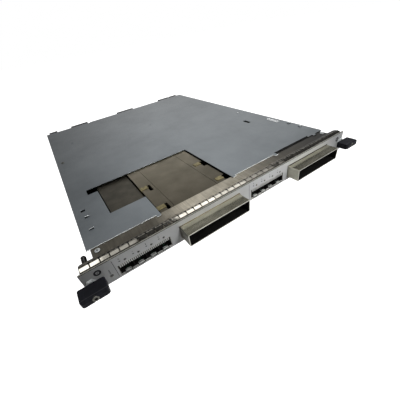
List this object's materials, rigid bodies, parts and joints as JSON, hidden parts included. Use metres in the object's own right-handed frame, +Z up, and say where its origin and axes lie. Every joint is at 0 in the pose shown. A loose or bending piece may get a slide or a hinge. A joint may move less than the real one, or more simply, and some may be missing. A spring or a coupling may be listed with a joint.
{
  "type": "interface module",
  "caption": "Plug-in interface module of a network chassis: sheet-metal tray with cover, faceplate with pluggable ports, sprung gasket, rear connectors and turn handles.",
  "frame": {"origin": "centre of the bounding box in X and Y, on the surface that the tray lies on", "axes": "+Z up from the tray's bottom, +Y towards the rear connectors, +X to the right seen from the front"},
  "size_m": [0.4474, 0.5658, 0.0327],
  "materials": {
    "zinc_steel": "satin zinc-coated sheet",
    "grey_paint": "light grey satin paint",
    "rail_steel": "bare plated sheet",
    "spring_silver": "bright plated spring strip",
    "board_green": "solder mask",
    "bright_steel": "bright zinc",
    "black_steel": "black oxide",
    "cage_steel": "plain formed sheet",
    "nickel": "satin nickel plating",
    "bronze_plate": "satin olive-bronze conversion coat",
    "shield_steel": "dull plated sheet",
    "clip_brass": "yellow plated spring",
    "black_plastic": "moulded",
    "knob_plastic": "moulded, fine grain",
    "light_plastic": "clear moulding, unlit",
    "chip": "moulded package",
    "sink_aluminium": "plain"
  },
  "bodies": {
    "chassis": {"board_standoffs": "bright_steel", "carrier_tray": "zinc_steel", "cover_screws": "bright_steel", "faceplate": "grey_paint", "finger_gasket": "spring_silver", "gasket_rail": "rail_steel", "left_bay_clips": "clip_brass", "left_bay_heat_plate": "bronze_plate", "left_bay_inner_rail": "bronze_plate", "left_bay_outer_rail": "bronze_plate", "left_bay_shroud": "nickel", "left_bay_socket": "black_plastic", "left_bushing": "bright_steel", "left_bushing_nut": "bright_steel", "light_pipe_bar_left": "light_plastic", "light_pipe_bar_right": "light_plastic", "main_board": "board_green", "power_module": "chip", "processor_1": "chip", "processor_2": "chip", "processor_heat_sink_1": "sink_aluminium", "processor_heat_sink_2": "sink_aluminium", "rail_screws": "bright_steel", "rear_power_connector": "black_plastic", "rear_signal_connector_1": "black_plastic", "rear_signal_connector_2": "black_plastic", "rear_signal_connector_3": "black_plastic", "rear_signal_connector_4": "black_plastic", "right_bay_clips": "clip_brass", "right_bay_heat_plate": "bronze_plate", "right_bay_inner_rail": "bronze_plate", "right_bay_outer_rail": "bronze_plate", "right_bay_shroud": "nickel", "right_bay_socket": "black_plastic", "right_bushing": "bright_steel", "right_bushing_nut": "bright_steel", "shield_can": "shield_steel", "small_port_cage_left": "cage_steel", "small_port_cage_right": "cage_steel", "small_port_gasket_left": "spring_silver", "small_port_gasket_right": "spring_silver", "small_port_socket_1": "black_plastic", "small_port_socket_2": "black_plastic", "small_port_socket_3": "black_plastic", "small_port_socket_4": "black_plastic", "small_port_socket_5": "black_plastic", "small_port_socket_6": "black_plastic", "small_port_socket_7": "black_plastic", "small_port_socket_8": "black_plastic", "status_light_pipe": "light_plastic", "top_cover": "zinc_steel"},
    "left_handle": {"left_knob": "knob_plastic", "left_jackscrew": "black_steel", "left_knob_screw": "bright_steel", "left_retaining_nut": "bright_steel"},
    "right_handle": {"right_knob": "knob_plastic", "right_jackscrew": "black_steel", "right_knob_screw": "bright_steel", "right_retaining_nut": "bright_steel"}
  },
  "joints": [
    {"name": "left_handle_turn", "type": "hinge", "parent": "chassis", "child": "left_handle", "pos_m": [-0.21, -0.25, 0.01588], "axis": [0, 1, 0], "continuous": true},
    {"name": "right_handle_turn", "type": "hinge", "parent": "chassis", "child": "right_handle", "pos_m": [0.21, -0.25, 0.01588], "axis": [0, 1, 0], "continuous": true}
  ]
}
